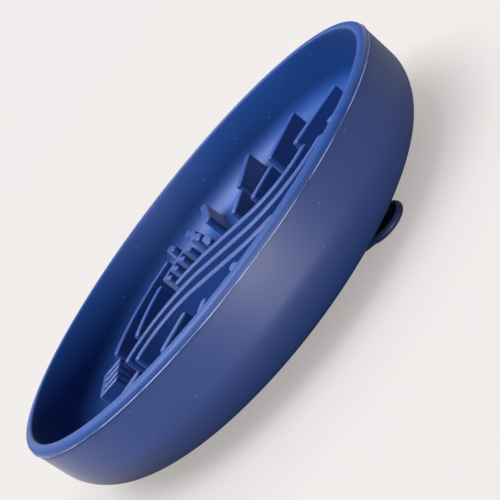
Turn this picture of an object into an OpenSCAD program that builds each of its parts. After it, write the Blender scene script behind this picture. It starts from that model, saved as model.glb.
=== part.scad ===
// Slow feeder bowl in moulded silicone: a round bowl with a maze of low walls on its floor,
// standing on a wide suction foot that has a pull tab to let the air in.
// The origin is the middle of the plane that the foot rests on, +Z is up, and the tab points to -Y.

/* [Bowl] */
// Outside diameter of the bowl at the rim
bowl_d = 240; // [210:1:280]
// Height of the bowl alone, from its underside to the top of the rim
bowl_h = 41.5; // [38:0.5:60]
// Thickness of the wall at the rim
wall_t = 4.6; // [4.2:0.1:6]
// Thickness of the floor
floor_t = 4; // [3:0.1:6]
// Radius of the outside corner between the wall and the underside
corner_r = 22.8; // [18:0.2:24]
// Radius of the inside sweep between the wall and the floor
sweep_r = 18; // [16:0.2:21]
// Lean of the inside of the wall, in degrees
wall_draft = 1; // [0.5:0.1:2]

/* [Rim] */
// Radius of the rim's outside edge
rim_outer_r = 2.2; // [1.2:0.1:2.4]
// Radius of the rim's inside edge
rim_inner_r = 1.2; // [0.6:0.1:1.6]
// Drop from the top of the rim to the seam that the mould leaves round the bowl
seam_drop = 2.9; // [2.6:0.1:6]
// Radius of the seam's fine bead
seam_r = 0.3; // [0.2:0.05:0.5]

/* [Maze walls] */
// Width of a maze wall at its top
maze_w = 4.8; // [3.6:0.1:5.4]
// Height of the maze walls above the floor
maze_h = 15; // [10:0.5:18]
// Lean of the sides of the maze walls, in degrees
maze_draft = 1.5; // [0.5:0.1:3]
// Radius of the top edges of the maze walls
maze_edge_r = 0.9; // [0.5:0.1:1.2]
// How far the rounded posts at the ends and bends stand proud of the walls' sides and tops
post_proud = 0.12; // [0.1:0.01:0.2]
// Distance from one flowing wall to the next, middle to middle
flow_pitch = 15; // [12:0.5:16]
// Width of a comb's teeth at their top
tooth_w = 3.4; // [3.0:0.1:3.8]
// Distance from one comb tooth to the next, middle to middle
tooth_pitch = 6.4; // [6.0:0.1:6.8]
// Length of a comb's teeth, from the middle of its back
tooth_l = 11; // [8:0.5:12]

/* [Suction foot] */
// Gap between the bowl's underside and the surface that it stands on
foot_h = 5.5; // [4.5:0.1:8]
// Diameter of the lip that grips the surface
lip_d = 178; // [164:1:180]
// Width of the flat ring of the lip that touches the surface
lip_land = 2.4; // [1.6:0.1:4]
// Thickness of the lip at its edge
lip_t = 2; // [1.4:0.1:2.2]
// Diameter of the neck that carries the lip, outside
neck_d = 140; // [128:1:146]
// Thickness of the neck
neck_t = 6; // [4:0.5:9]

/* [Pull tab] */
// Width of the tab round its tip
tab_w = 21; // [18:0.5:22]
// Width of the tab where it leaves the lip
tab_root_w = 25; // [23:0.5:27]
// Distance from the line that the tab bends at to its tip
tab_l = 14.5; // [13.5:0.5:18]
// Thickness of the tab's web
tab_t = 1.8; // [1.4:0.1:2.2]
// Diameter of the bead round the tab's edge
tab_bead_d = 3; // [2.6:0.1:3.2]
// Distance from the lip's edge to the line that the tab bends at
tab_root_l = 3; // [2.6:0.1:4]
// Radius of the fillets where the tab's root runs into the lip
tab_fillet_r = 3.5; // [3:0.1:5]
// How far the tab's root runs in over the lip
tab_pad_l = 5; // [3:0.5:8]
// Height of the tab's middle plane above the surface
tab_z = 1.9; // [1.8:0.1:2.4]
// Clearance that leaves the tab free to turn
tab_clear = 0.3; // [0.2:0.05:0.4]

/* [Hidden] */
$fn = 96;

// Overrun of cuts past the faces that they open
over = 1;
// How far inside its posts a maze wall stops
tuck = 0.5;

rim_r = bowl_d / 2;
bowl_z = foot_h;
rim_z = bowl_z + bowl_h;
floor_z = bowl_z + floor_t;
seam_z = rim_z - seam_drop;
cavity_r = rim_r - wall_t;

// The sweep's circle touches the floor and the leaning wall
sweep_z = floor_z + sweep_r;
sweep_x = cavity_r - (rim_z - sweep_z) * tan(wall_draft) - sweep_r / cos(wall_draft);
// The flat of the floor ends where the sweep starts
floor_r = sweep_x;
// The wall stands on the corner where both of the corner's rounds have ended
corner_z = max(bowl_z + corner_r, sweep_z);
// The rim starts just above the seam's bead
rim_from_z = seam_z + seam_r;

// The whole maze is turned about the middle, against the tab
maze_turn = -29;

// Flowing walls: heading at the middle, half of the straight there, then the bend
flow_heading = -38;
flow_straight_share = 0.165;
flow_bend_share = 0.57;
flow_turn = 62;
flow_short_turn = 20;

// Radial bars: heading of each, and how far out they start and end
outer_bar_headings = [12, 35, 58, 81];
outer_bar_start_share = 0.71;
outer_bar_end_share = 1.06;
inner_bar_headings = [26, 54, 88];
inner_bar_start_shares = [0.38, 0.38, 0.33];
inner_bar_end_shares = [0.56, 0.56, 0.47];

// Ring walls round the middle: radius as a share of the flat floor, first and last heading
ring_shares = [0.91, 0.70];
ring_headings = [[106, 148], [122, 150]];

// Combs: place of the middle of the back, and heading of the teeth
comb_shares = [[-0.21, 0.68], [-0.907, 0.247]];
comb_headings = [-75, -15];
teeth = 4;

// Wave wall: place of its outer end, heading, and the bends that it is made of
wave_start_shares = [-0.02, 0.93];
wave_heading = -118;
wave_bend_share = 0.085;
wave_turn = 60;
wave_bends = 4;

// Stubs that stand on the sweep near the wall
stub_heading = 99;
stub_start_share = 0.985;
stub_end_share = 1.09;

tab_hinge_y = -(lip_d / 2 + tab_root_l);
tab_bead_r = tab_bead_d / 2;

// Half of the outside of the bowl: rounded corner below, rounded edge above, and the fine seam
module bowl_outline() {
    translate([0, bowl_z]) square([rim_r - corner_r, bowl_h]);
    translate([0, bowl_z + corner_r]) square([rim_r, bowl_h - corner_r - rim_outer_r]);
    translate([0, bowl_z + corner_r]) square([rim_r - rim_outer_r, bowl_h - corner_r]);
    translate([rim_r - corner_r, bowl_z + corner_r]) circle(corner_r);
    translate([rim_r - rim_outer_r, rim_z - rim_outer_r]) circle(rim_outer_r);
    translate([rim_r, seam_z]) circle(seam_r);
}

// Half of the hollow: flat floor, sweep, leaning wall and rounded mouth
module cavity_outline() {
    polygon([
        [0, floor_z],
        [sweep_x, floor_z],
        [sweep_x, sweep_z],
        [sweep_x + sweep_r * cos(wall_draft), sweep_z - sweep_r * sin(wall_draft)],
        [cavity_r, rim_z],
        [cavity_r, rim_z + over],
        [0, rim_z + over]
    ]);
    translate([sweep_x, sweep_z]) circle(sweep_r);
    difference() {
        translate([cavity_r - over, rim_z - rim_inner_r]) square([over + rim_inner_r, rim_inner_r + over]);
        translate([cavity_r + rim_inner_r, rim_z - rim_inner_r]) circle(rim_inner_r);
    }
}

// A ring of the bowl: what lies between two radii and two heights
module bowl_band(from_r, to_r, from_z, to_z) {
    color("#3a4c8c")
    rotate_extrude()
    difference() {
        intersection() {
            bowl_outline();
            translate([from_r, from_z]) square([to_r - from_r, to_z - from_z]);
        }
        cavity_outline();
    }
}

// Section of a maze wall from its middle plane out
module half_section(w, h = maze_h) {
    edge_x = w / 2 - maze_edge_r;
    edge_z = h - maze_edge_r;
    side_x = edge_x + maze_edge_r * cos(maze_draft);
    side_z = edge_z + maze_edge_r * sin(maze_draft);
    foot_x = side_x + side_z * tan(maze_draft);
    polygon([[0, 0], [foot_x, 0], [side_x, side_z], [edge_x, h], [0, h]]);
    translate([edge_x, edge_z]) circle(maze_edge_r);
}

module full_section(w) {
    half_section(w);
    mirror([1, 0]) half_section(w);
}

// Upright post that rounds off an end or carries a wall from one run into the next
module post(w) {
    rotate_extrude() half_section(w + 2 * post_proud, maze_h + post_proud);
}

// Lays a wall along +X, run after run, with a post after each. A run is [length, 0] or [radius, turn]
module lay_runs(w, runs, i = 0) {
    if (i < len(runs) && runs[i][1] == 0) {
        translate([tuck, 0, 0]) rotate([90, 0, 90]) linear_extrude(runs[i][0] - 2 * tuck) full_section(w);
        translate([runs[i][0], 0, 0]) {
            post(w);
            lay_runs(w, runs, i + 1);
        }
    } else if (i < len(runs)) {
        left = sign(runs[i][1]);
        turn = abs(runs[i][1]);
        tuck_turn = tuck / runs[i][0] * 180 / PI;
        translate([0, left * runs[i][0], 0])
        rotate([0, 0, (left > 0 ? -90 : 90 - turn) + tuck_turn])
        rotate_extrude(angle = turn - 2 * tuck_turn)
        translate([runs[i][0], 0])
        full_section(w);
        translate([0, left * runs[i][0], 0])
        rotate([0, 0, left * turn])
        translate([0, -left * runs[i][0], 0]) {
            post(w);
            lay_runs(w, runs, i + 1);
        }
    }
}

// A wall standing on the floor, from its first post to its last
module maze_wall(start, heading, runs, w = maze_w) {
    translate([start.x, start.y, floor_z])
    rotate([0, 0, heading]) {
        post(w);
        lay_runs(w, runs);
    }
}

// Everything in the maze is laid in the maze's own frame; the second half is the first turned by 180 degrees
module in_maze(second = false) {
    color("#4a5fa5")
    rotate([0, 0, maze_turn + (second ? 180 : 0)])
    children();
}

// A flowing wall, laid both ways from the post at one end of its straight
module flow_wall(offset_right, turn_ahead, turn_behind) {
    bend = flow_bend_share * floor_r;
    straight = flow_straight_share * floor_r;
    translate([0, 0, floor_z])
    rotate([0, 0, flow_heading])
    translate([-straight, -offset_right, 0]) {
        post(maze_w);
        lay_runs(maze_w, [[2 * straight, 0], [bend + offset_right, turn_ahead]]);
        rotate([0, 0, 180]) lay_runs(maze_w, [[bend - offset_right, turn_behind]]);
    }
}

// A straight bar that points away from the middle, cut to the sweep that it runs up
module radial_bar(heading, start_share, end_share) {
    start_r = start_share * floor_r;
    end_r = end_share * floor_r;
    intersection() {
        maze_wall([start_r * cos(heading), start_r * sin(heading)], heading, [[end_r - start_r, 0]]);
        rotate_extrude() cavity_outline();
    }
}

module ring_wall(i) {
    r = ring_shares[i] * floor_r;
    first = ring_headings[i][0];
    maze_wall([r * cos(first), r * sin(first)], first + 90, [[r, ring_headings[i][1] - first]]);
}

// Teeth joined at their first posts by a straight back
module comb(i) {
    back_l = (teeth - 1) * tooth_pitch;
    translate([comb_shares[i].x * floor_r, comb_shares[i].y * floor_r, 0])
    rotate([0, 0, comb_headings[i]]) {
        for (t = [0:teeth - 1])
            maze_wall([0, t * tooth_pitch - back_l / 2], 0, [[tooth_l, 0]], tooth_w);
        translate([0, tuck - back_l / 2, floor_z])
        rotate([90, 0, 180])
        linear_extrude(back_l - 2 * tuck)
        full_section(tooth_w);
    }
}

module wave_wall() {
    bend = wave_bend_share * floor_r;
    maze_wall(
        wave_start_shares * floor_r,
        wave_heading,
        [for (b = [0:wave_bends - 1]) [bend, b % 2 == 0 ? wave_turn : -wave_turn]]
    );
}

// Half of the foot: a thick neck under the bowl that flares down to a thin lip
module foot_outline() {
    neck_r = neck_d / 2;
    lip_r = lip_d / 2;
    flare_r = lip_r - neck_r;
    flare_h = foot_h - lip_t;
    // The top of the flare is a quarter of an ellipse, hollow side up
    flare = [for (a = [90:-10:0]) [lip_r - flare_r * sin(a), lip_t + flare_h * (1 - cos(a))]];
    polygon(concat(
        [[neck_r - neck_t, foot_h]],
        flare,
        [[lip_r, lip_t / 2], [lip_r - lip_t / 2, 0], [lip_r - lip_land, 0], [neck_r - neck_t, foot_h / 2]]
    ));
}

// The part of the tab's root that stays with the lip, seen from above
module tab_root_plan() {
    lip_r = lip_d / 2;
    root_end = -tab_hinge_y - tab_bead_r - tab_clear;
    fillet_x = tab_root_w / 2 + tab_fillet_r;
    fillet_y = -sqrt(pow(lip_r + tab_fillet_r, 2) - pow(fillet_x, 2));
    // The fillet's circle touches the lip's edge this far out
    touch_x = fillet_x * lip_r / (lip_r + tab_fillet_r);
    flare_end = min(root_end, -fillet_y);
    translate([-tab_root_w / 2, -root_end]) square([tab_root_w, root_end - lip_r + tab_pad_l]);
    difference() {
        translate([-touch_x, -flare_end]) square([2 * touch_x, flare_end - lip_r + tab_pad_l]);
        for (side = [-1, 1])
            translate([side * fillet_x, fillet_y]) circle(tab_fillet_r);
    }
}

module suction_foot() {
    color("#36467f") {
        rotate_extrude() foot_outline();
        translate([0, 0, tab_z - tab_t / 2]) linear_extrude(tab_t) tab_root_plan();
    }
}

// Half of the tab's section from its middle out: a thin web inside a round bead
module tab_half_section() {
    bead_x = tab_w / 2 - tab_bead_r;
    translate([0, -tab_t / 2]) square([bead_x, tab_t]);
    translate([bead_x, 0]) circle(tab_bead_r);
}

// Tongue with a bead round its sides and tip, a roll on the line that it bends at, and gussets beside the roll
module pull_tab() {
    side_l = tab_l - tab_w / 2;
    gusset_x = tab_w / 2 - tab_bead_r;
    color("#36467f")
    translate([0, tab_hinge_y, tab_z])
    rotate([0, 0, -90]) {
        rotate([90, 0, 90]) linear_extrude(side_l) {
            tab_half_section();
            mirror([1, 0]) tab_half_section();
        }
        translate([side_l, 0, 0]) rotate([0, 0, -90]) rotate_extrude(angle = 180) tab_half_section();
        translate([0, tab_root_w / 2, 0]) rotate([90, 0, 0]) cylinder(h = tab_root_w, r = tab_bead_r);
        translate([0, 0, -tab_t / 2])
        linear_extrude(tab_t)
        polygon([
            [0, tuck - tab_root_w / 2],
            [side_l - tuck, -gusset_x],
            [side_l - tuck, gusset_x],
            [0, tab_root_w / 2 - tuck]
        ]);
    }
}

bowl_band(0, floor_r, bowl_z, corner_z);  // bowl_floor
bowl_band(floor_r, rim_r, bowl_z, corner_z);  // bowl_corner
bowl_band(floor_r, rim_r + seam_r, corner_z, rim_from_z);  // bowl_wall
bowl_band(floor_r, rim_r, rim_from_z, rim_z);  // bowl_rim
in_maze() flow_wall(0, flow_turn, flow_turn);  // flow_wall_centre
in_maze() flow_wall(flow_pitch, flow_short_turn, flow_turn);  // flow_wall_near
in_maze(true) flow_wall(flow_pitch, flow_short_turn, flow_turn);  // flow_wall_far
for (i = [1:8])
    in_maze(i > 4) radial_bar(outer_bar_headings[(i - 1) % 4], outer_bar_start_share, outer_bar_end_share);
for (i = [1:6])
    in_maze(i > 3)
        radial_bar(
            inner_bar_headings[(i - 1) % 3],
            inner_bar_start_shares[(i - 1) % 3],
            inner_bar_end_shares[(i - 1) % 3]
        );
for (i = [1:4])
    in_maze(i > 2) ring_wall((i - 1) % 2);
for (i = [1:4])
    in_maze(i > 2) comb((i - 1) % 2);
for (i = [1:2])
    in_maze(i > 1) wave_wall();
for (i = [1:2])
    in_maze(i > 1) radial_bar(stub_heading, stub_start_share, stub_end_share);
suction_foot();
pull_tab();
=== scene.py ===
import math

import bmesh
import bpy
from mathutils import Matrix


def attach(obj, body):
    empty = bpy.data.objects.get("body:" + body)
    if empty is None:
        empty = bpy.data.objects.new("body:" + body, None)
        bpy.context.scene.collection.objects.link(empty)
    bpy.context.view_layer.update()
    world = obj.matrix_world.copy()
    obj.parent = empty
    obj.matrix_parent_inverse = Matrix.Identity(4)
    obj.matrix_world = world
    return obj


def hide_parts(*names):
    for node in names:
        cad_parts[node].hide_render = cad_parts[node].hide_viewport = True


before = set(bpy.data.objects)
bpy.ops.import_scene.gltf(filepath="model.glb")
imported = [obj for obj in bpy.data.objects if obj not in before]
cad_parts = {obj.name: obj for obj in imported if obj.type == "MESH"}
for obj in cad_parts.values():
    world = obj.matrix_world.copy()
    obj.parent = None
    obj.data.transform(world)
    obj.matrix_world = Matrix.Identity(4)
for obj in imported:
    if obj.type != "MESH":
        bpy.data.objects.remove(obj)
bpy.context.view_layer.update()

# The view
# The bowl is seen from a little above its rim and held on edge in the frame, so the camera is rolled
# rather than the bowl: the bowl itself stands level on its foot.
EYE = (-0.17322, -0.31248, 0.11481)
EYE_TURNS = (65.05, 49.51, -50.07)
LENS = 55.68
SENSOR_W = 36
NEAREST = 0.01
FARTHEST = 60

view = bpy.data.cameras.new("view")
view.lens = LENS
view.sensor_width = SENSOR_W
view.clip_start = NEAREST
view.clip_end = FARTHEST
camera = bpy.data.objects.new("view", view)
camera.location = EYE
camera.rotation_euler = [math.radians(turn) for turn in EYE_TURNS]
bpy.context.scene.collection.objects.link(camera)
bpy.context.scene.camera = camera

# Bowl shell
# The bowl itself: one moulding of soft navy silicone with a flat floor, a wide sweep into a nearly upright
# wall, and a rounded rim. The two halves of its mould leave a fine pale seam round the wall below the rim.
# The bowl's sizes and places are in millimetres, and MM turns them into Blender's metres
MM = 0.001
RIM_R = 120.0
RIM_Z = 47.0
RIM_OUTER_R = 2.2
RIM_INNER_R = 1.2
UNDERSIDE_Z = 5.5
FLOOR_Z = 9.5
# The flat of the floor ends at this radius, where the sweep starts
FLAT_R = 97.06
FLOOR_RINGS = (20, 60, 90)
UNDERSIDE_RINGS = (80, 20)
SWEEP_R = 18.0
WALL_DRAFT = 1
CORNER_R = 22.8
SEAM_Z = 44.1
SEAM_R = 0.3
SHELL_SIDES = 320
MERGE_WITHIN = 0.002
SMOOTH_ANGLE = 35

# The silicone where its bloom is thin and where it is thick, and how rough it is at most
SHELL_DEEP = (0.002, 0.029, 0.14)
SHELL_PALE = (0.003, 0.034, 0.16)
DULL_ROUGHNESS = 0.68
DUST = (0.42, 0.46, 0.62)
# A painted highlight on the sweep, dust and a painted sheen haze outside, and what use and the mould have
# left on the shell
# Painted highlight: the paler blue laid on the sweep where the light from above falls on it
PAINTED_SWEEP_HIGHLIGHT = (0.009, 0.046, 0.215)
# Dust bloom and painted sheen, greying the outside where it faces out but not the corner that faces down
DUST_AND_PAINTED_SHEEN = (0.018, 0.042, 0.158)
OUTER_DUST = (0.23, 0.27, 0.45)
SCRATCH = (0.2, 0.23, 0.36)
SEAM_FLASH = (0.2, 0.24, 0.46)
BLACK = (0, 0, 0)
WHITE = (1, 1, 1)
# How much smoother the shell is where it is handled and where it is licked, and how much glossier there
RUBBED = 0.2
POLISHED = 0.04
WET = 0.14
# The painted sheen haze and the painted sweep highlight give way to the rim's own between these heights
RIM_LOOK_FROM_Z = 43.6
RIM_LOOK_FULL_Z = 45.5
# The flash fades in between these distances from the seam, on what lies outside this radius
FLASH_REACH = 0.26
FLASH_CORE = 0.12
OUTSIDE_R = RIM_R - 1


def arc_points(centre_x, centre_z, radius, first, last, steps):
    """Points on an arc of the bowl's section, from one angle to another, both included."""
    angles = [math.radians(first + (last - first) * i / steps) for i in range(steps + 1)]
    return [(centre_x + radius * math.cos(a), centre_z + radius * math.sin(a)) for a in angles]


def add_fresh(add, name, **how):
    """Adds a primitive with nothing else selected and opens it in edit mode, selected all over."""
    if bpy.context.object and bpy.context.object.mode == "EDIT":
        bpy.ops.object.mode_set(mode="OBJECT")
    bpy.ops.object.select_all(action="DESELECT")
    add(**how)
    piece = bpy.context.object
    piece.name = name
    piece.data.name = name
    bpy.ops.object.mode_set(mode="EDIT")
    bpy.ops.mesh.select_all(action="SELECT")
    return piece


def draw_out(x=0, y=0, z=0):
    """Extrudes what is selected by a step."""
    bpy.ops.mesh.extrude_region_move(TRANSFORM_OT_translate={"value": (x * MM, y * MM, z * MM)})


def draw_ring_to(now, then):
    """Extrudes the selected ring from one radius and height to the next."""
    draw_out(z=then[1] - now[1])
    share = then[0] / now[0]
    bpy.ops.transform.resize(value=(share, share, 1), center_override=(0, 0, 0))


def close_up():
    """Merges doubles, turns the faces outwards, puts the piece's place into its mesh and shades it."""
    bpy.ops.mesh.select_all(action="SELECT")
    bpy.ops.mesh.remove_doubles(threshold=MERGE_WITHIN * MM)
    bpy.ops.mesh.normals_make_consistent(inside=False)
    bpy.ops.object.mode_set(mode="OBJECT")
    bpy.ops.object.transform_apply(location=True, rotation=True, scale=True)
    bpy.ops.object.shade_smooth_by_angle(angle=math.radians(SMOOTH_ANGLE))


def fill_in(tree, node, inputs):
    """Sets the inputs of a shader node: a socket is linked, and a colour gets its alpha."""
    for socket, value in inputs.items():
        if isinstance(value, bpy.types.NodeSocket):
            tree.links.new(value, node.inputs[socket])
        elif isinstance(value, tuple):
            node.inputs[socket].default_value = (*value, 1)
        else:
            node.inputs[socket].default_value = value


def add_node(tree, kind, inputs, **settings):
    """Adds a shader node with its settings and its inputs."""
    node = tree.nodes.new("ShaderNode" + kind)
    for name, value in settings.items():
        setattr(node, name, value)
    fill_in(tree, node, inputs)
    return node


def ranged(tree, value, low=0, high=1, to_low=0, to_high=1, **settings):
    """Carries a value from one range over to another and keeps it inside."""
    inputs = {"Value": value, "From Min": low, "From Max": high, "To Min": to_low, "To Max": to_high}
    return add_node(tree, "MapRange", inputs, **settings).outputs["Result"]


def maths(tree, operation, *terms):
    """One step of arithmetic on sockets and numbers."""
    return add_node(tree, "Math", dict(enumerate(terms)), operation=operation).outputs["Value"]


def product(tree, first, *others):
    """Multiplies sockets, one after another."""
    for other in others:
        first = maths(tree, "MULTIPLY", first, other)
    return first


def colour_over(tree, share, under, over):
    """Lays a colour over another by a share."""
    inputs = {"Factor": share, "A": under, "B": over}
    return add_node(tree, "Mix", inputs, data_type="RGBA").outputs["Result"]


def ramp(tree, value, stops):
    """Colours a value by stops, each a place from 0 to 1 and its colour."""
    node = add_node(tree, "ValToRGB", {"Fac": value})
    marks = node.color_ramp.elements
    for mark, (place, colour) in zip(marks, (stops[0], stops[-1])):
        mark.position = place
        mark.color = (*colour, 1)
    for place, colour in stops[1:-1]:
        marks.new(place).color = (*colour, 1)
    return node.outputs["Color"]


def silicone(name, deep, pale, roughest):
    """Matt silicone: a fine moulded grain, a faint bloom, stray dust, and a soft sheen at a low angle."""
    skin = bpy.data.materials.new(name)
    skin.use_nodes = True
    tree = skin.node_tree
    place = add_node(tree, "TexCoord", {}, name="place").outputs["Object"]
    bloom_look = {"Vector": place, "Scale": 14, "Detail": 5, "Roughness": 0.6}
    bloom = add_node(tree, "TexNoise", bloom_look, name="bloom").outputs["Fac"]
    colour = ramp(tree, bloom, ((0.34, deep), (0.68, pale)))
    dust = add_node(tree, "TexVoronoi", {"Vector": place, "Scale": 300})
    speck = ranged(tree, dust.outputs["Distance"], 0.09, 0.05, name="speck")
    chance = add_node(tree, "SeparateColor", {"Color": dust.outputs["Color"]}, name="chance")
    seldom = maths(tree, "GREATER_THAN", chance.outputs["Red"], 0.9)
    colour = colour_over(tree, product(tree, speck, seldom), colour, DUST)
    grain = add_node(tree, "TexNoise", {"Vector": place, "Scale": 2600, "Detail": 3}).outputs["Fac"]
    fine = add_node(tree, "Bump", {"Height": grain, "Strength": 0.12, "Distance": 0.0001})
    surface = {
        "Base Color": colour,
        "Roughness": ranged(tree, bloom, to_low=roughest - 0.12, to_high=roughest),
        "Normal": fine.outputs["Normal"],
        "IOR": 1.43,
        "Sheen Weight": 0.12,
        "Sheen Roughness": 0.4,
        "Sheen Tint": (1.0, 0.94, 0.9),
    }
    fill_in(tree, tree.nodes["Principled BSDF"], surface)
    return skin


def hairlines(tree, place, bloom):
    """A few hairline scratches that run aslant, and only where the bloom is thick."""
    wave_look = {"Vector": place, "Scale": 7, "Distortion": 5, "Detail": 1, "Detail Scale": 3}
    wave = add_node(tree, "TexWave", wave_look, bands_direction="DIAGONAL").outputs["Fac"]
    return product(tree, ranged(tree, wave, 0.9996, 0.9999), ranged(tree, bloom, 0.58, 0.68, to_high=0.2))


def seam_line(tree, place, height, level):
    """The flash that the mould leaves outside at the seam, finer than the bead and a little broken."""
    reach = add_node(tree, "VectorMath", {0: level}, operation="LENGTH").outputs["Value"]
    outside = maths(tree, "GREATER_THAN", reach, OUTSIDE_R * MM)
    off_seam = maths(tree, "ABSOLUTE", maths(tree, "SUBTRACT", height, SEAM_Z * MM))
    line = ranged(tree, off_seam, FLASH_REACH * MM, FLASH_CORE * MM)
    ragged = add_node(tree, "TexNoise", {"Vector": place, "Scale": 60, "Detail": 8}).outputs["Fac"]
    return product(tree, line, ranged(tree, ragged, 0.38, 0.56), outside)


def wear(skin):
    """A used shell's dust and painted sheen haze outside, its licked sweep's painted highlight, and its
    seam.
    """
    tree = skin.node_tree
    shader = tree.nodes["Principled BSDF"]
    place = tree.nodes["place"].outputs["Object"]
    normal = tree.nodes["place"].outputs["Normal"]
    bloom = tree.nodes["bloom"].outputs["Fac"]
    speck = tree.nodes["speck"].outputs["Result"]
    chance = tree.nodes["chance"].outputs
    colour = shader.inputs["Base Color"].links[0].from_socket
    matt = shader.inputs["Roughness"].links[0].from_socket

    where = add_node(tree, "SeparateXYZ", {"Vector": place}).outputs
    level = add_node(tree, "CombineXYZ", {"X": where["X"], "Y": where["Y"]}).outputs["Vector"]
    outwards = add_node(tree, "VectorMath", {0: level}, operation="NORMALIZE").outputs["Vector"]
    facing = add_node(tree, "VectorMath", {0: outwards, 1: normal}, operation="DOT_PRODUCT")
    sideways = ranged(tree, facing.outputs["Value"], 0.5, 1)
    on_rim = ranged(tree, where["Z"], RIM_LOOK_FROM_Z * MM, RIM_LOOK_FULL_Z * MM)
    # The outward-facing outside, a fifth on the rim: dusty, smoother and glossier, under a painted sheen
    # haze
    outward_share = add_node(tree, "Mix", {"Factor": on_rim, "A": sideways, "B": 0.2}).outputs["Result"]
    slope = add_node(tree, "SeparateXYZ", {"Vector": normal}).outputs["Z"]
    # Painted highlight: the sweep, leaning about 30 to 60 degrees, is laid paler, the flat floor a fifth as
    # much
    sweep = ramp(tree, slope, ((0.2, BLACK), (0.55, WHITE), (0.85, WHITE), (0.98, (0.2, 0.2, 0.2))))
    sweep_share = add_node(tree, "Mix", {"Factor": on_rim, "A": sweep, "B": 0}).outputs["Result"]

    often = maths(tree, "GREATER_THAN", chance["Red"], 0.4)
    # Laid on in turn: painted sweep highlight, dust and painted sheen haze, dust specks, scratches, seam
    # flash
    for share, over in (
        (sweep_share, PAINTED_SWEEP_HIGHLIGHT),
        (outward_share, DUST_AND_PAINTED_SHEEN),
        (product(tree, speck, often, chance["Green"], outward_share), OUTER_DUST),
        (product(tree, hairlines(tree, place, bloom), sideways), SCRATCH),
        (seam_line(tree, place, where["Z"], level), SEAM_FLASH),
    ):
        colour = colour_over(tree, share, colour, over)
    rubbed = maths(tree, "MULTIPLY_ADD", outward_share, -RUBBED, matt)
    gleam = ranged(tree, outward_share, to_low=0.3)
    surface = {
        "Base Color": colour,
        "Roughness": maths(tree, "MULTIPLY_ADD", sweep_share, -POLISHED, rubbed),
        "Sheen Weight": ranged(tree, sideways, to_high=0.17),
        "Specular IOR Level": maths(tree, "MULTIPLY_ADD", sweep_share, WET, gleam),
    }
    fill_in(tree, shader, surface)


section = [(radius, FLOOR_Z) for radius in FLOOR_RINGS]
section += arc_points(FLAT_R, FLOOR_Z + SWEEP_R, SWEEP_R, -90, -WALL_DRAFT, steps=18)
section += arc_points(RIM_R - RIM_OUTER_R - RIM_INNER_R, RIM_Z - RIM_INNER_R, RIM_INNER_R, 180, 90, steps=6)
section += arc_points(RIM_R - RIM_OUTER_R, RIM_Z - RIM_OUTER_R, RIM_OUTER_R, 90, 0, steps=10)
section += arc_points(RIM_R, SEAM_Z, SEAM_R, 90, -90, steps=6)
section += arc_points(RIM_R - CORNER_R, UNDERSIDE_Z + CORNER_R, CORNER_R, 0, -90, steps=20)
section += [(radius, UNDERSIDE_Z) for radius in UNDERSIDE_RINGS]
shell = add_fresh(
    bpy.ops.mesh.primitive_circle_add,
    "bowl_body",
    vertices=SHELL_SIDES,
    radius=section[0][0] * MM,
    fill_type="TRIFAN",
    location=(0, 0, section[0][1] * MM),
)
bpy.ops.mesh.region_to_loop()
for now, then in zip(section, section[1:]):
    draw_ring_to(now, then)
bpy.ops.mesh.extrude_region()
bpy.ops.mesh.merge(type="CENTER")
close_up()
shell_skin = silicone("navy_silicone_bowl", SHELL_DEEP, SHELL_PALE, DULL_ROUGHNESS)
wear(shell_skin)
shell.data.materials.append(shell_skin)
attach(shell, "bowl")
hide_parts("bowl_floor", "bowl_corner", "bowl_wall", "bowl_rim")

# Maze walls
# Low walls that stand up from the floor so that food has to be licked and nosed out from between them,
# moulded in one with the bowl: each has a small fillet at its foot, leaning sides and soft top edges.
MAZE_TURN = -29
# The width of a wall at its top, and how much further out its foot stands on each side: lean and fillet
WALL_W = 4.8
WALL_SPREAD = 1.58
WALL_HALF = WALL_W / 2 + WALL_SPREAD
# How a wall is drawn in and up: round its fillet and up its leaning side, then over its soft top edge
TOP_EDGE_STEPS = [(0.07, 0.34), (0.19, 0.3), (0.3, 0.19), (0.34, 0.07)]
WALL_STEPS = [(0.46, 0.09), (0.39, 0.26), (0.26, 0.39), (0.09, 0.46), (0.36, 12.9)] + TOP_EDGE_STEPS
BEND_STEP = 1.6
FEWEST_BEND_STEPS = 4
END_SEGMENTS = 9
PLAN_MERGE_WITHIN = 0.1
# Places closer together than this count as the same when a point or an edge is picked
CLOSE = 0.02
# Paler and more violet than the shell's silicone, which they are moulded in: painted light for the lit tops
MAZE_DEEP = (0.006, 0.034, 0.165)
MAZE_PALE = (0.009, 0.041, 0.19)
MAZE_ROUGHNESS = 0.52


def polar(radius, heading):
    """The point at a distance and a heading from the middle."""
    return (radius * math.cos(math.radians(heading)), radius * math.sin(math.radians(heading)))


def beside(point, heading, left):
    """The point that lies to the left of another, seen along a heading."""
    c, s = polar(1, heading)
    return (point[0] - left * s, point[1] + left * c)


def swing(point, turn):
    """A point turned about the middle."""
    c, s = polar(1, turn)
    return (point[0] * c - point[1] * s, point[0] * s + point[1] * c)


def maze_turn(again):
    """How far the maze is turned, where each wall stands once and again half a turn on."""
    return MAZE_TURN + (180 if again else 0)


def pick(test, kind="verts"):
    """Selects what passes a test on its middle, in millimetres, and nothing else."""
    bpy.ops.mesh.select_mode(type={"verts": "VERT", "edges": "EDGE"}[kind])
    bpy.ops.mesh.select_all(action="DESELECT")
    mesh = bmesh.from_edit_mesh(bpy.context.object.data)
    for part in getattr(mesh, kind):
        corners = [part] if kind == "verts" else part.verts
        middle = sum((v.co for v in corners), start=corners[0].co * 0) / len(corners) / MM
        if test(middle):
            part.select = True
    mesh.select_flush_mode()
    bmesh.update_edit_mesh(bpy.context.object.data)


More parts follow.
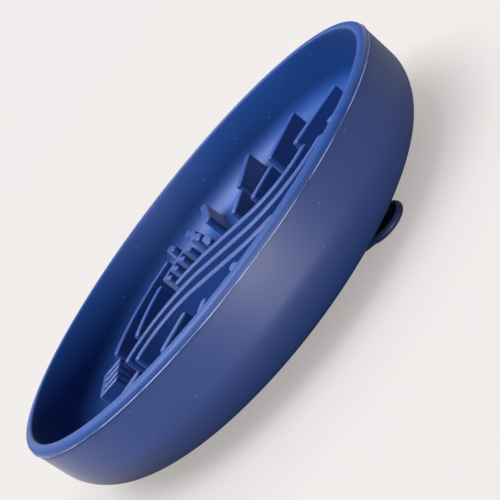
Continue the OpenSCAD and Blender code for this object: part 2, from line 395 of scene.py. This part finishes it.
def face_up():
    """Merges the points of a plan that all but meet and turns its faces upwards."""
    bpy.ops.mesh.select_all(action="SELECT")
    bpy.ops.mesh.remove_doubles(threshold=PLAN_MERGE_WITHIN * MM)
    mesh = bmesh.from_edit_mesh(bpy.context.object.data)
    mesh.normal_update()
    for face in mesh.faces:
        if face.normal.z < 0:
            face.normal_flip()
    bmesh.update_edit_mesh(bpy.context.object.data)


def lay_down(piece, place, heading):
    """Turns a plan drawn along +X to its heading and sets it on the floor."""
    c, s = polar(1, heading)
    mesh = bmesh.from_edit_mesh(piece.data)
    for v in mesh.verts:
        u, w = v.co.x, v.co.y
        v.co = (place[0] * MM + u * c - w * s, place[1] * MM + u * s + w * c, FLOOR_Z * MM)
    bmesh.update_edit_mesh(piece.data)


def trace_plan(name, start, heading, runs):
    """Lays out a wall's plan, run after run, and rounds its ends.

    A run is (length, 0) for a straight and (radius, turn) for a bend.
    """
    piece = add_fresh(bpy.ops.mesh.primitive_plane_add, name, size=1, location=(0, 0, 0))
    bpy.ops.transform.resize(value=(WALL_HALF * MM, 2 * WALL_HALF * MM, 1), center_override=(0, 0, 0))
    bpy.ops.transform.translate(value=(-WALL_HALF / 2 * MM, 0, 0))
    lay_down(piece, start, heading)
    c, s = polar(1, heading)
    back = (start[0] - WALL_HALF * c, start[1] - WALL_HALF * s)
    corners = [beside(back, heading, side * WALL_HALF) for side in (-1, 1)]
    pick(lambda m: math.hypot(m.x - start[0], m.y - start[1]) < CLOSE, "edges")
    end = start
    for length, turn in runs + [(WALL_HALF, 0)]:
        if turn == 0:
            step = polar(length, heading)
            draw_out(*step)
            end = (end[0] + step[0], end[1] + step[1])
        else:
            radius = math.copysign(length, turn)
            centre = beside(end, heading, radius)
            bpy.ops.mesh.spin(
                steps=max(FEWEST_BEND_STEPS, round(abs(turn) / 360 * 2 * math.pi * length / BEND_STEP)),
                angle=-math.radians(turn),
                center=(centre[0] * MM, centre[1] * MM, FLOOR_Z * MM),
                axis=(0, 0, 1),
            )
            heading += turn
            end = beside(centre, heading, -radius)
    corners += [beside(end, heading, side * WALL_HALF) for side in (-1, 1)]
    pick(lambda m: any(math.hypot(m.x - x, m.y - y) < CLOSE for x, y in corners))
    bpy.ops.mesh.bevel(offset=WALL_HALF * MM, segments=END_SEGMENTS, affect="VERTICES")
    face_up()
    return piece


def draw_in(steps):
    """Draws what is selected in and up, step by step."""
    for thickness, depth in steps:
        bpy.ops.mesh.inset(
            thickness=thickness * MM, depth=depth * MM, use_boundary=True, use_even_offset=True
        )


def raise_walls(steps):
    """Keeps the plan as the underside and raises the walls from a copy of it."""
    bpy.ops.mesh.select_all(action="SELECT")
    bpy.ops.mesh.duplicate()
    draw_in(steps)


def finish_wall(piece, stands_for):
    """Closes a wall, gives it its finish and lets it stand for its node."""
    close_up()
    piece.data.materials.append(maze_skin)
    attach(piece, "bowl")
    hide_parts(stands_for)


def set_down(node, start, heading, runs, again):
    """One maze wall in its place, in the maze's own directions, or half a turn on."""
    turn = maze_turn(again)
    piece = trace_plan(node + "_soft", swing(start, turn), heading + turn, runs)
    raise_walls(WALL_STEPS)
    finish_wall(piece, node)


maze_skin = silicone("navy_silicone_maze", MAZE_DEEP, MAZE_PALE, MAZE_ROUGHNESS)

# Flowing walls
# Three long S-shaped walls side by side across the middle, the longest through the centre. They are moulded
# with the floor in the same silicone and leave two long lanes between them.
FLOW_HEADING = -38
FLOW_STRAIGHT = 0.165 * FLAT_R
FLOW_BEND = 0.57 * FLAT_R
FLOW_PITCH = 15
FLOW_TURN = 62
FLOW_SHORT_TURN = 20
for node, again, right, last_turn in (
    ("flow_wall_centre", False, 0, FLOW_TURN),
    ("flow_wall_near", False, FLOW_PITCH, FLOW_SHORT_TURN),
    ("flow_wall_far", True, FLOW_PITCH, FLOW_SHORT_TURN),
):
    # The far end of the bend behind the straight comes first, so that each wall is laid in one line
    bend_behind = FLOW_BEND - right
    straight_start = beside(polar(-FLOW_STRAIGHT, FLOW_HEADING), FLOW_HEADING, -right)
    bend_centre = beside(straight_start, FLOW_HEADING, -bend_behind)
    first_heading = FLOW_HEADING + FLOW_TURN
    start = beside(bend_centre, first_heading, bend_behind)
    runs = [(bend_behind, -FLOW_TURN), (2 * FLOW_STRAIGHT, 0), (FLOW_BEND + right, last_turn)]
    set_down(node, start, first_heading, runs, again)

# Radial bars
# Straight bars that point away from the middle, moulded with the floor in the same silicone: short ones
# inside, and long ones outside and stubs by the wall, which run up the sweep. Each has a heading, and its
# two ends lie at shares of the flat floor's radius.
for kind, bars in (
    ("outer_bar", ((12, 0.71, 1.06), (35, 0.71, 1.06), (58, 0.71, 1.06), (81, 0.71, 1.06))),
    ("inner_bar", ((26, 0.38, 0.56), (54, 0.38, 0.56), (88, 0.33, 0.47))),
    ("wall_stub", ((99, 0.985, 1.09),)),
):
    for i in range(2 * len(bars)):
        heading, start_share, end_share = bars[i % len(bars)]
        start = polar(start_share * FLAT_R, heading)
        runs = [((end_share - start_share) * FLAT_R, 0)]
        set_down(f"{kind}_{i + 1}", start, heading, runs, i >= len(bars))

# Ring walls
# Arcs that follow the rim, moulded with the floor in the same silicone, which stop food from being pushed
# round the outside. Each has a share of the flat floor's radius and the headings of its two ends.
RINGS = ((0.91, 106, 148), (0.70, 122, 150))
for i in range(2 * len(RINGS)):
    ring_share, first, last = RINGS[i % len(RINGS)]
    radius = ring_share * FLAT_R
    runs = [(radius, last - first)]
    set_down(f"ring_wall_{i + 1}", polar(radius, first), first + 90, runs, i >= len(RINGS))

# Wave walls
# Short wavy walls that run in from the edge of the floor, moulded with it in the same silicone. Each has
# four bends, one way and the other by turns.
WAVE_BEND = 0.085 * FLAT_R
WAVE_TURN = 60
WAVE_START = (-0.02 * FLAT_R, 0.93 * FLAT_R)
WAVE_HEADING = -118
for i in range(2):
    runs = [(WAVE_BEND, WAVE_TURN), (WAVE_BEND, -WAVE_TURN)] * 2
    set_down(f"wave_wall_{i + 1}", WAVE_START, WAVE_HEADING, runs, i > 0)

# Combs
# Four short teeth on a straight back, moulded with the floor in the same silicone, close enough together to
# hold a smear of wet food. Each comb has a place, in shares of the flat floor's radius, and a heading.
COMBS = ((-0.21, 0.68, -75), (-0.907, 0.247, -15))
TOOTH_W = 3.4
TOOTH_PITCH = 6.4
TOOTH_L = 11
# Where each tooth stands along the back, as a share of the pitch
TOOTH_SHARES = (-1.5, -0.5, 0.5, 1.5)
TOOTH_SPREAD = 0.97
TOOTH_HALF = TOOTH_W / 2 + TOOTH_SPREAD
TOOTH_STEPS = [(0.23, 0.05), (0.19, 0.13), (0.13, 0.19), (0.05, 0.23), (0.37, 13.5)] + TOP_EDGE_STEPS
TOOTH_SEGMENTS = 7
LAST_TOOTH = TOOTH_SHARES[-1] * TOOTH_PITCH
TOOTH_TIP = TOOTH_HALF + TOOTH_L


def on_tooth(middle):
    """Whether an edge of the comb's back is one that a tooth grows from."""
    off = min(abs(middle.y - share * TOOTH_PITCH) for share in TOOTH_SHARES)
    return middle.x > TOOTH_HALF - CLOSE and off < CLOSE


def comb_corner(middle):
    """Whether a point is a corner of a tooth's tip or of the back."""
    at_back = middle.x < 0 and abs(middle.y) > LAST_TOOTH + TOOTH_HALF - CLOSE
    return at_back or abs(middle.x - TOOTH_TIP) < CLOSE


for i in range(2 * len(COMBS)):
    x_share, y_share, heading = COMBS[i % len(COMBS)]
    turn = maze_turn(i >= len(COMBS))
    comb = add_fresh(bpy.ops.mesh.primitive_plane_add, f"comb_{i + 1}_soft", size=1, location=(0, 0, 0))
    # The back is laid as seven faces in a row, and the teeth are drawn out of every other one
    bpy.ops.transform.resize(value=(2 * TOOTH_HALF * MM, 2 * TOOTH_HALF * MM, 1), center_override=(0, 0, 0))
    bpy.ops.transform.translate(value=(0, -LAST_TOOTH * MM, 0))
    pick(lambda m: m.y > -LAST_TOOTH + TOOTH_HALF - CLOSE, "edges")
    for step in (TOOTH_PITCH - 2 * TOOTH_HALF, 2 * TOOTH_HALF) * (len(TOOTH_SHARES) - 1):
        draw_out(y=step)
    pick(on_tooth, "edges")
    draw_out(x=TOOTH_L)
    pick(comb_corner)
    bpy.ops.mesh.bevel(offset=TOOTH_HALF * MM, segments=TOOTH_SEGMENTS, affect="VERTICES")
    lay_down(comb, swing((x_share * FLAT_R, y_share * FLAT_R), turn), heading + turn)
    face_up()
    raise_walls(TOOTH_STEPS)
    finish_wall(comb, f"comb_{i + 1}")

# Suction foot
# A thick silicone neck joined to the underside of the bowl, which flares down to a thin soft lip. Pressed
# down, the shallow hollow inside loses its air and the lip grips. A pad on the lip carries the tab.
NECK_R = 70
NECK_T = 6
LIP_R = 89.0
LIP_T = 2
LIP_LAND = 2.4
# The rounded edge of the lip: how far in from its radius, and how high
LIP_EDGE = ((0, 1.3), (0.15, 0.75), (0.5, 0.25), (1, 0))
HOLLOW_Z = 2.75
FOOT_SIDES = 256
FLARE_STEP = 6
# Darker and greyer than the shell's silicone, though it is the same silicone: painted shade under the bowl
FOOT_DEEP = (0.006, 0.018, 0.066)
FOOT_PALE = (0.009, 0.023, 0.082)

foot_section = [(NECK_R - NECK_T, UNDERSIDE_Z)]
for angle in range(90, -1, -FLARE_STEP):
    rise = (UNDERSIDE_Z - LIP_T) * (1 - math.cos(math.radians(angle)))
    foot_section.append((LIP_R - (LIP_R - NECK_R) * math.sin(math.radians(angle)), LIP_T + rise))
foot_section += [(LIP_R - inset, height) for inset, height in LIP_EDGE]
foot_section += [(LIP_R - LIP_LAND, 0), (NECK_R - NECK_T, HOLLOW_Z)]
foot = add_fresh(
    bpy.ops.mesh.primitive_circle_add,
    "foot_lip",
    vertices=FOOT_SIDES,
    radius=foot_section[0][0] * MM,
    fill_type="NOTHING",
    location=(0, 0, foot_section[0][1] * MM),
)
for now, then in zip(foot_section, foot_section[1:] + foot_section[:1]):
    draw_ring_to(now, then)
close_up()
foot_skin = silicone("navy_silicone_foot", FOOT_DEEP, FOOT_PALE, DULL_ROUGHNESS)
foot.data.materials.append(foot_skin)
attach(foot, "bowl")
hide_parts("suction_foot")

# Tab pad
# The thickened stretch of the lip that the tab grows from, moulded with the foot. Its two outer corners are
# hollowed out in a curve, so that the pad narrows towards the tab.
PAD_W = 30.8
PAD_L = 6.2
PAD_T = 1.8
PAD_Y = -87.1
# The height of the middle of the pad and of the tab above the plane that the foot rests on
TAB_Z = 1.9
CURVE_R = 3.5
CURVE_X = 16
CURVE_Y = -91.1
CUTTER_L = 8
CUTTER_SIDES = 64
PAD_EDGE = 0.45
PAD_EDGE_SEGMENTS = 3
PAD_EDGE_ANGLE = 50

pad = add_fresh(bpy.ops.mesh.primitive_cube_add, "foot_tab_pad", size=1, location=(0, 0, 0))
bpy.ops.transform.resize(value=(PAD_W * MM, PAD_L * MM, PAD_T * MM), center_override=(0, 0, 0))
bpy.ops.transform.translate(value=(0, PAD_Y * MM, TAB_Z * MM))
bpy.ops.object.mode_set(mode="OBJECT")
for side in (-1, 1):
    cutter = add_fresh(
        bpy.ops.mesh.primitive_cylinder_add,
        "pad_cutter",
        vertices=CUTTER_SIDES,
        radius=CURVE_R * MM,
        depth=CUTTER_L * MM,
        location=(side * CURVE_X * MM, CURVE_Y * MM, TAB_Z * MM),
    )
    bpy.ops.object.mode_set(mode="OBJECT")
    bpy.ops.object.select_all(action="DESELECT")
    pad.select_set(True)
    bpy.context.view_layer.objects.active = pad
    cut = pad.modifiers.new("corner", "BOOLEAN")
    cut.object = cutter
    cut.operation = "DIFFERENCE"
    cut.solver = "EXACT"
    bpy.ops.object.modifier_apply(modifier=cut.name)
    bpy.data.objects.remove(cutter)
soften = pad.modifiers.new("soft_edges", "BEVEL")
soften.width = PAD_EDGE * MM
soften.segments = PAD_EDGE_SEGMENTS
soften.angle_limit = math.radians(PAD_EDGE_ANGLE)
bpy.ops.object.modifier_apply(modifier=soften.name)
bpy.ops.object.mode_set(mode="EDIT")
close_up()
pad.data.materials.append(foot_skin)
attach(pad, "bowl")

# Pull tab
# The tongue at the lip's edge that is lifted to let the air in: a thin dished web inside a thick rounded
# bead, moulded with the foot, which bends where it leaves the pad.
HINGE_Y = -92.0
# From the line that the tab bends at: how far it reaches back, where it has narrowed, and where it ends
TAB_BACK = 1.5
TAB_TAPER_L = 4
TAB_L = 14.5
TAB_ROOT_HALF = 12.5
TAB_HALF = 10.5
TAB_SEGMENTS = 20
# How each face of the tab is drawn in: over its rounded bead, then down to the flat of its web
TAB_STEPS = [
    (0.11, 0.57), (0.33, 0.49), (0.49, 0.33), (0.57, 0.11),
    (0.46, -0.07), (0.42, -0.22), (0.32, -0.31), (0.5, -0.12), (0.6, 0.0),
]

tab = add_fresh(bpy.ops.mesh.primitive_plane_add, "tab_tongue", size=1, location=(0, 0, 0))
mesh = bmesh.from_edit_mesh(tab.data)
for v in mesh.verts:
    y = HINGE_Y + (TAB_BACK if v.co.y > 0 else 0)
    v.co = (math.copysign(TAB_ROOT_HALF, v.co.x) * MM, y * MM, TAB_Z * MM)
bmesh.update_edit_mesh(tab.data)
pick(lambda m: m.y < HINGE_Y + CLOSE, "edges")
draw_out(y=-TAB_TAPER_L)
bpy.ops.transform.resize(value=(TAB_HALF / TAB_ROOT_HALF, 1, 1), center_override=(0, 0, 0))
draw_out(y=TAB_TAPER_L - TAB_L)
pick(lambda m: m.y < HINGE_Y - TAB_L + CLOSE)
bpy.ops.mesh.bevel(offset=TAB_HALF * MM, segments=TAB_SEGMENTS, affect="VERTICES")
face_up()
bpy.ops.mesh.select_all(action="SELECT")
draw_in(TAB_STEPS)
bpy.ops.mesh.select_all(action="SELECT")
bpy.ops.mesh.duplicate()
bpy.ops.transform.resize(value=(1, 1, -1), center_override=(0, 0, TAB_Z * MM))
close_up()
tab.data.materials.append(foot_skin)
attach(tab, "tab")
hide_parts("pull_tab")

# Studio
# A plain pale paper floor that runs back to a surround of the same tone, and three soft lamps: a broad one
# above, a low window and a weak far one. The floor glows for the camera alone, so that the shadow on it
# stays soft while the bowl isn't lit from below, and glows less near the bowl as a painted contact shadow.
FLOOR_SIZE = 60
FLOOR_SEEN = (0.09, 0.09, 0.09)
FLOOR_FELT = (0.05, 0.05, 0.05)
GLOW_SEEN = (0.641, 0.609, 0.598)
SHADE_REACH = 0.05
SHADE_SAMPLES = 16
LEAST_GLOW = 0.6
SURROUND_SEEN = (0.88, 0.847, 0.839)
# How steeply up the surround's grey band ends and where the dark above it is full, with their colours
BAND = ((0.12, (0.16, 0.155, 0.155)), (0.34, (0.05, 0.05, 0.055)))
LAMP_DISTANCE = 2


def camera_only(tree, seen, felt):
    """A colour that is one thing to the camera and another to light that bounces."""
    to_camera = tree.nodes.new("ShaderNodeLightPath").outputs["Is Camera Ray"]
    return colour_over(tree, to_camera, felt, seen)


def hang_lamp(name, azimuth, height, energy, spread, tone=WHITE):
    """A lamp aimed at the middle of the bowl, from a heading and an elevation in degrees."""
    lamp = bpy.data.lights.new(name, "SUN")
    lamp.energy = energy
    lamp.angle = math.radians(spread)
    lamp.color = tone
    stand = bpy.data.objects.new(name, lamp)
    level = LAMP_DISTANCE * math.cos(math.radians(height))
    stand.location = (*polar(level, azimuth), LAMP_DISTANCE * math.sin(math.radians(height)))
    stand.rotation_euler = stand.location.to_track_quat("Z", "Y").to_euler()
    stand.visible_camera = False
    bpy.context.scene.collection.objects.link(stand)


floor = add_fresh(bpy.ops.mesh.primitive_plane_add, "studio_floor", size=FLOOR_SIZE, location=(0, 0, 0))
bpy.ops.object.mode_set(mode="OBJECT")
paper = bpy.data.materials.new("pale_paper")
paper.use_nodes = True
tree = paper.node_tree
# Painted contact shadow: the glow dims to six tenths where the bowl is near, by ambient occlusion
openness = add_node(tree, "AmbientOcclusion", {"Distance": SHADE_REACH}, samples=SHADE_SAMPLES)
paper_surface = {
    "Roughness": 1,
    "Specular IOR Level": 0,
    "Base Color": camera_only(tree, FLOOR_SEEN, FLOOR_FELT),
    "Emission Color": camera_only(tree, GLOW_SEEN, BLACK),
    "Emission Strength": ranged(tree, openness.outputs["AO"], to_low=LEAST_GLOW),
}
fill_in(tree, tree.nodes["Principled BSDF"], paper_surface)
floor.data.materials.append(paper)

# To the camera alone the surround is pale like the floor. What lights the bowl is a dim grey band at the
# horizon and the dark above it.
surround = bpy.data.worlds.new("surround")
surround.use_nodes = True
tree = surround.node_tree
heading = tree.nodes.new("ShaderNodeTexCoord").outputs["Generated"]
rise = add_node(tree, "SeparateXYZ", {"Vector": heading}).outputs["Z"]
backdrop = camera_only(tree, SURROUND_SEEN, ramp(tree, rise, BAND))
fill_in(tree, tree.nodes["Background"], {"Color": backdrop})
bpy.context.scene.world = surround

hang_lamp("key", 165, 72, energy=8.4, spread=44)
hang_lamp("window", -115, 1.5, energy=5.2, spread=13, tone=(1, 0.92, 0.91))
hang_lamp("far_light", 70, 20, energy=0.5, spread=40)
bpy.context.scene.view_settings.view_transform = "Standard"
